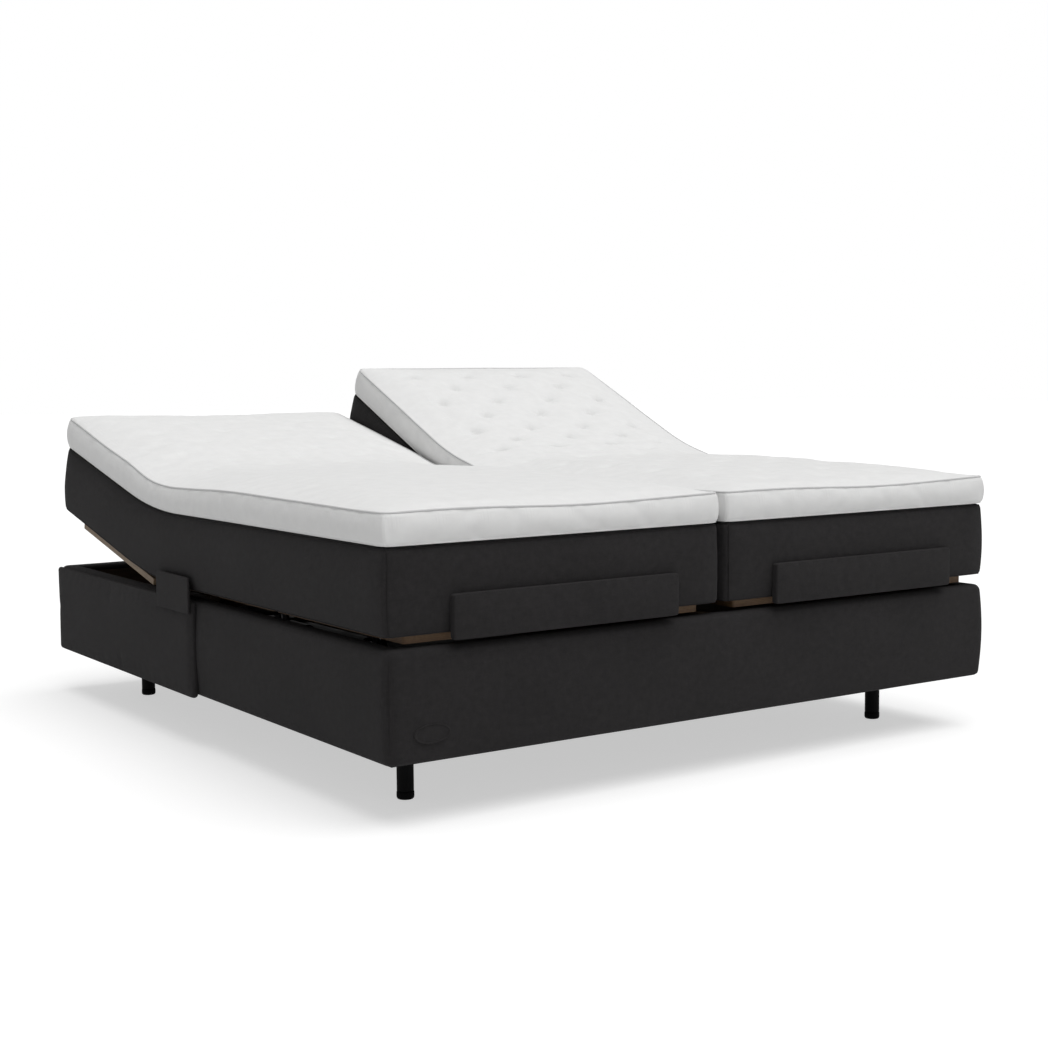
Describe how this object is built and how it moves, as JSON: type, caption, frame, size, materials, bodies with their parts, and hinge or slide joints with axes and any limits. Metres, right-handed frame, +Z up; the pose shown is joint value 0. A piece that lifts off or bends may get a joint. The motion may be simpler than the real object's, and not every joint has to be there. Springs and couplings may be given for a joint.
{
  "type": "adjustable bed base",
  "caption": "Upholstered box bed base on short round legs with side-by-side mattresses and toppers, and electrically raised back and leg sections.",
  "frame": {"origin": "on the floor under the centre of the object's box, at rest", "axes": "+Y from the foot end to the head end, +X to the right for someone who stands at the foot end and looks at the head end, +Z up"},
  "size_m": [1.8666, 2.02, 0.9428],
  "materials": {
    "upholstery": "matt charcoal melange weave",
    "mattress_cloth": "matt charcoal melange weave",
    "topper_cloth": "white knitted cover",
    "plywood": "clear lacquered birch plywood",
    "timber": "sawn softwood",
    "black_leg": "black satin powder coat",
    "grey_steel": "dark grey powder coat",
    "black_plastic": "moulded plastic, fine texture"
  },
  "bodies": {
    "base": {"cover_foot": "upholstery", "cover_head": "upholstery", "cover_left": "upholstery", "cover_right": "upholstery", "rail_foot": "timber", "rail_head": "timber", "rail_left": "timber", "rail_right": "timber", "centre_beam": "timber", "leg_bearer_foot": "timber", "leg_bearer_head": "timber", "leg_foot_left": "black_leg", "leg_foot_right": "black_leg", "leg_head_left": "black_leg", "leg_head_right": "black_leg", "control_unit": "black_plastic", "side_panel_left": "upholstery", "side_panel_right": "upholstery", "side_stop_left": "upholstery", "side_stop_right": "upholstery", "drive_bar_foot": "grey_steel", "drive_bar_head": "grey_steel", "seat_board_left": "plywood", "mattress_seat_left": "mattress_cloth", "topper_seat_left": "topper_cloth", "back_drive_left": "black_plastic", "leg_drive_left": "black_plastic", "seat_board_right": "plywood", "mattress_seat_right": "mattress_cloth", "topper_seat_right": "topper_cloth", "back_drive_right": "black_plastic", "leg_drive_right": "black_plastic"},
    "back_left": {"back_board_left": "plywood", "mattress_back_left": "mattress_cloth", "topper_back_left": "topper_cloth"},
    "thigh_left": {"thigh_board_left": "plywood", "mattress_thigh_left": "mattress_cloth", "topper_thigh_left": "topper_cloth"},
    "calf_left": {"calf_board_left": "plywood", "foot_panel_left": "upholstery", "mattress_calf_left": "mattress_cloth", "topper_calf_left": "topper_cloth"},
    "back_lift_left": {"back_lift_left": "grey_steel"},
    "leg_lift_left": {"leg_lift_left": "grey_steel"},
    "back_rod_left": {"back_rod_left": "grey_steel"},
    "leg_rod_left": {"leg_rod_left": "grey_steel"},
    "back_right": {"back_board_right": "plywood", "mattress_back_right": "mattress_cloth", "topper_back_right": "topper_cloth"},
    "thigh_right": {"thigh_board_right": "plywood", "mattress_thigh_right": "mattress_cloth", "topper_thigh_right": "topper_cloth"},
    "calf_right": {"calf_board_right": "plywood", "foot_panel_right": "upholstery", "mattress_calf_right": "mattress_cloth", "topper_calf_right": "topper_cloth"},
    "back_lift_right": {"back_lift_right": "grey_steel"},
    "leg_lift_right": {"leg_lift_right": "grey_steel"},
    "back_rod_right": {"back_rod_right": "grey_steel"},
    "leg_rod_right": {"leg_rod_right": "grey_steel"}
  },
  "joints": [
    {"name": "back_hinge_left", "type": "hinge", "parent": "base", "child": "back_left", "pos_m": [-0.45, 0.255, 0.396], "axis": [1, 0, 0], "range_deg": [-12.3, 47.7]},
    {"name": "thigh_hinge_left", "type": "hinge", "parent": "base", "child": "thigh_left", "pos_m": [-0.45, -0.02, 0.396], "axis": [-1, 0, 0], "range_deg": [0, 30]},
    {"name": "knee_hinge_left", "type": "hinge", "parent": "thigh_left", "child": "calf_left", "pos_m": [-0.45, -0.36, 0.388], "axis": [1, 0, 0], "range_deg": [0, 45.5]},
    {"name": "back_lift_shaft_left", "type": "hinge", "parent": "base", "child": "back_lift_left", "pos_m": [-0.45, 0.255, 0.338], "axis": [1, 0, 0], "range_deg": [-11.38, 43.97]},
    {"name": "leg_lift_shaft_left", "type": "hinge", "parent": "base", "child": "leg_lift_left", "pos_m": [-0.45, -0.02, 0.338], "axis": [-1, 0, 0], "range_deg": [0, 27.8]},
    {"name": "back_rod_slide_left", "type": "slide", "parent": "base", "child": "back_rod_left", "axis": [0, 1, 0], "range_m": [-0.02738, 0.10562]},
    {"name": "leg_rod_slide_left", "type": "slide", "parent": "base", "child": "leg_rod_left", "axis": [0, -1, 0], "range_m": [0, 0.0688]},
    {"name": "back_hinge_right", "type": "hinge", "parent": "base", "child": "back_right", "pos_m": [0.45, 0.255, 0.396], "axis": [1, 0, 0], "range_deg": [-25, 35]},
    {"name": "thigh_hinge_right", "type": "hinge", "parent": "base", "child": "thigh_right", "pos_m": [0.45, -0.02, 0.396], "axis": [-1, 0, 0], "range_deg": [0, 30]},
    {"name": "knee_hinge_right", "type": "hinge", "parent": "thigh_right", "child": "calf_right", "pos_m": [0.45, -0.36, 0.388], "axis": [1, 0, 0], "range_deg": [0, 45.5]},
    {"name": "back_lift_shaft_right", "type": "hinge", "parent": "base", "child": "back_lift_right", "pos_m": [0.45, 0.255, 0.338], "axis": [1, 0, 0], "range_deg": [-23.07, 32.28]},
    {"name": "leg_lift_shaft_right", "type": "hinge", "parent": "base", "child": "leg_lift_right", "pos_m": [0.45, -0.02, 0.338], "axis": [-1, 0, 0], "range_deg": [0, 27.8]},
    {"name": "back_rod_slide_right", "type": "slide", "parent": "base", "child": "back_rod_right", "axis": [0, 1, 0], "range_m": [-0.05545, 0.07755]},
    {"name": "leg_rod_slide_right", "type": "slide", "parent": "base", "child": "leg_rod_right", "axis": [0, -1, 0], "range_m": [0, 0.0688]}
  ],
  "couplings": [
    {"joint": "knee_hinge_left", "follows": "thigh_hinge_left", "ratio": 1.5},
    {"joint": "back_lift_shaft_left", "follows": "back_hinge_left", "ratio": 0.92078},
    {"joint": "leg_lift_shaft_left", "follows": "thigh_hinge_left", "ratio": 0.92515},
    {"joint": "back_rod_slide_left", "follows": "back_hinge_left", "m_per_rad": 0.12663},
    {"joint": "leg_rod_slide_left", "follows": "thigh_hinge_left", "m_per_rad": 0.13101},
    {"joint": "knee_hinge_right", "follows": "thigh_hinge_right", "ratio": 1.5},
    {"joint": "back_lift_shaft_right", "follows": "back_hinge_right", "ratio": 0.92078},
    {"joint": "leg_lift_shaft_right", "follows": "thigh_hinge_right", "ratio": 0.92515},
    {"joint": "back_rod_slide_right", "follows": "back_hinge_right", "m_per_rad": 0.12663},
    {"joint": "leg_rod_slide_right", "follows": "thigh_hinge_right", "m_per_rad": 0.13101}
  ]
}
